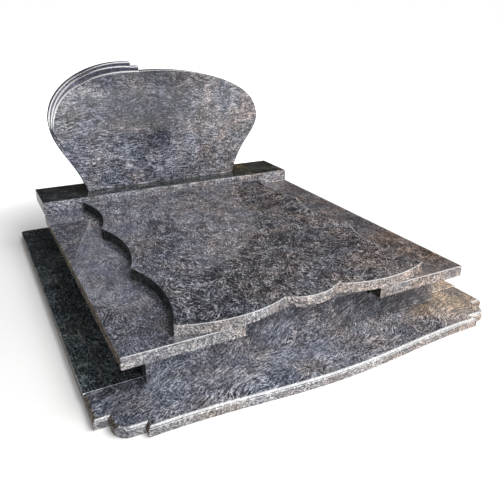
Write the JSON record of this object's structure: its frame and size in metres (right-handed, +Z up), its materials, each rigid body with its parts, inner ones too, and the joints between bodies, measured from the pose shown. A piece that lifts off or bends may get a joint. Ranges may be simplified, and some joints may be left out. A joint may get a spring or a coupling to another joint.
{
  "type": "grave monument",
  "caption": "Wide flat grave monument of polished granite: framed base, box, notched slab, wavy cover slab and a low rounded headstone with stepped mouldings.",
  "frame": {"origin": "on the ground, under the middle of the base frame", "axes": "+X to the viewer's right, +Y from the front towards the headstone, +Z up"},
  "size_m": [2, 2.264, 1.1193],
  "materials": {
    "base_front": "polished grey granite",
    "base_left": "polished grey granite",
    "base_right": "polished grey granite",
    "base_back": "polished grey granite",
    "panel_front": "polished grey granite",
    "panel_left": "polished grey granite",
    "panel_right": "polished grey granite",
    "panel_back": "polished grey granite",
    "lower_slab": "polished grey granite",
    "cover_slab": "polished grey granite",
    "headstone_base": "polished grey granite",
    "headstone": "polished grey granite"
  },
  "bodies": {
    "root": {"base_front": "base_front", "base_left": "base_left", "base_right": "base_right", "base_back": "base_back", "panel_front": "panel_front", "panel_left": "panel_left", "panel_right": "panel_right", "panel_back": "panel_back", "lower_slab": "lower_slab", "cover_slab": "cover_slab", "headstone_base": "headstone_base", "headstone": "headstone"}
  },
  "joints": []
}
